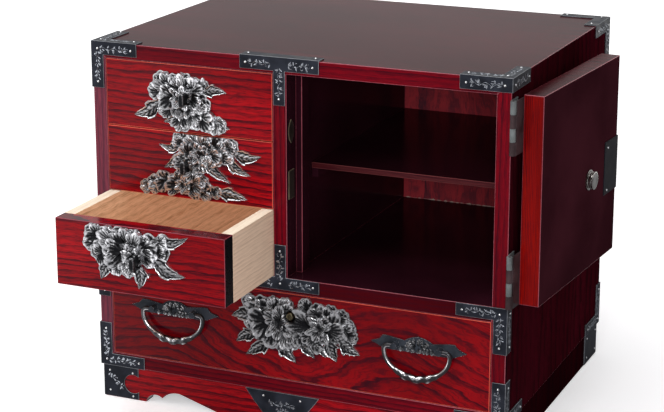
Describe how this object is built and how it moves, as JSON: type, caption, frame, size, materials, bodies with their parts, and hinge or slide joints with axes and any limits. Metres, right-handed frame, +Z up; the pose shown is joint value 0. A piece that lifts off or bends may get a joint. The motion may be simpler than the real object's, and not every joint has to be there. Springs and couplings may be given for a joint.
{
  "type": "clothing chest",
  "caption": "Low lacquered chest on a shaped base, with small drawers beside a door cabinet and a wide drawer below, cast flower fittings and iron corner brackets.",
  "frame": {"origin": "on the floor under the middle of the bounding box, with the lower small drawer pulled out and the door folded back", "axes": "+X towards the chest's right seen from the front, +Y towards its back, +Z up"},
  "size_m": [0.5024, 0.4676, 0.394],
  "materials": {
    "frame_lacquer": "dark maroon gloss lacquer",
    "front_lacquer": "red gloss lacquer over open grain",
    "inner_lacquer": "dark satin lacquer",
    "drawer_wood": "bare satin",
    "cast_iron_fitting": "blackened, rubbed bright on the high places",
    "sheet_iron": "dark satin with engraved scrolls",
    "hinge_steel": "dark satin",
    "nail_steel": "bright",
    "bright_plating": "polished",
    "keyhole_brass": "satin"
  },
  "bodies": {
    "chest": {"top_panel": "frame_lacquer", "bottom_panel": "frame_lacquer", "left_side_panel": "frame_lacquer", "right_side_panel": "frame_lacquer", "back_panel": "inner_lacquer", "middle_shelf": "frame_lacquer", "centre_partition": "frame_lacquer", "left_drawer_runners": "inner_lacquer", "right_drawer_runners": "inner_lacquer", "cabinet_shelf": "inner_lacquer", "shelf_cleats": "inner_lacquer", "door_stop": "inner_lacquer", "stile_plates": "sheet_iron", "base_front_rail": "frame_lacquer", "base_back_rail": "frame_lacquer", "base_left_rail": "frame_lacquer", "base_right_rail": "frame_lacquer", "base_corner_blocks": "inner_lacquer", "top_left_bracket": "sheet_iron", "top_right_bracket": "sheet_iron", "top_tee_bracket": "sheet_iron", "middle_tee_bracket": "sheet_iron", "middle_left_bracket": "sheet_iron", "middle_right_bracket": "sheet_iron", "bottom_left_bracket": "sheet_iron", "bottom_right_bracket": "sheet_iron", "rear_left_brackets": "sheet_iron", "rear_right_brackets": "sheet_iron", "front_left_foot_plate": "sheet_iron", "front_right_foot_plate": "sheet_iron", "rear_left_foot_plate": "sheet_iron", "rear_right_foot_plate": "sheet_iron", "base_centre_plate": "sheet_iron", "bracket_nails": "nail_steel", "upper_hinge_frame_leaf": "hinge_steel", "lower_hinge_frame_leaf": "hinge_steel"},
    "door": {"door_panel": "front_lacquer", "upper_hinge_door_leaf": "hinge_steel", "lower_hinge_door_leaf": "hinge_steel", "door_lock_plate": "sheet_iron", "door_ferrule": "bright_plating", "door_fitting": "cast_iron_fitting"},
    "wide_drawer": {"wide_drawer_front": "front_lacquer", "wide_drawer_tray": "drawer_wood", "wide_drawer_fitting": "cast_iron_fitting", "wide_drawer_keyhole": "keyhole_brass", "wide_drawer_lock": "sheet_iron", "left_handle_plate": "cast_iron_fitting", "right_handle_plate": "cast_iron_fitting"},
    "left_bail_handle": {"left_bail": "cast_iron_fitting"},
    "right_bail_handle": {"right_bail": "cast_iron_fitting"},
    "upper_drawer": {"upper_drawer_front": "front_lacquer", "upper_drawer_tray": "drawer_wood", "upper_drawer_fitting": "cast_iron_fitting"},
    "middle_drawer": {"middle_drawer_front": "front_lacquer", "middle_drawer_tray": "drawer_wood", "middle_drawer_fitting": "cast_iron_fitting"},
    "lower_drawer": {"lower_drawer_front": "front_lacquer", "lower_drawer_tray": "drawer_wood", "lower_drawer_fitting": "cast_iron_fitting"}
  },
  "joints": [
    {"name": "door_hinge", "type": "hinge", "parent": "chest", "child": "door", "pos_m": [0.20907, -0.11135, 0.27], "axis": [0, 0, 1], "range_deg": [-266, 0]},
    {"name": "upper_drawer_slide", "type": "slide", "parent": "chest", "child": "upper_drawer", "axis": [0, -1, 0], "range_m": [0, 0.25]},
    {"name": "middle_drawer_slide", "type": "slide", "parent": "chest", "child": "middle_drawer", "axis": [0, -1, 0], "range_m": [0, 0.25]},
    {"name": "lower_drawer_slide", "type": "slide", "parent": "chest", "child": "lower_drawer", "axis": [0, -1, 0], "range_m": [-0.109, 0.141]},
    {"name": "wide_drawer_slide", "type": "slide", "parent": "chest", "child": "wide_drawer", "axis": [0, -1, 0], "range_m": [0, 0.25]},
    {"name": "left_bail_swing", "type": "hinge", "parent": "wide_drawer", "child": "left_bail_handle", "pos_m": [-0.15823, -0.11425, 0.1109], "axis": [-1, 0, 0], "range_deg": [0, 100]},
    {"name": "right_bail_swing", "type": "hinge", "parent": "wide_drawer", "child": "right_bail_handle", "pos_m": [0.11577, -0.11425, 0.1109], "axis": [-1, 0, 0], "range_deg": [0, 100]}
  ]
}
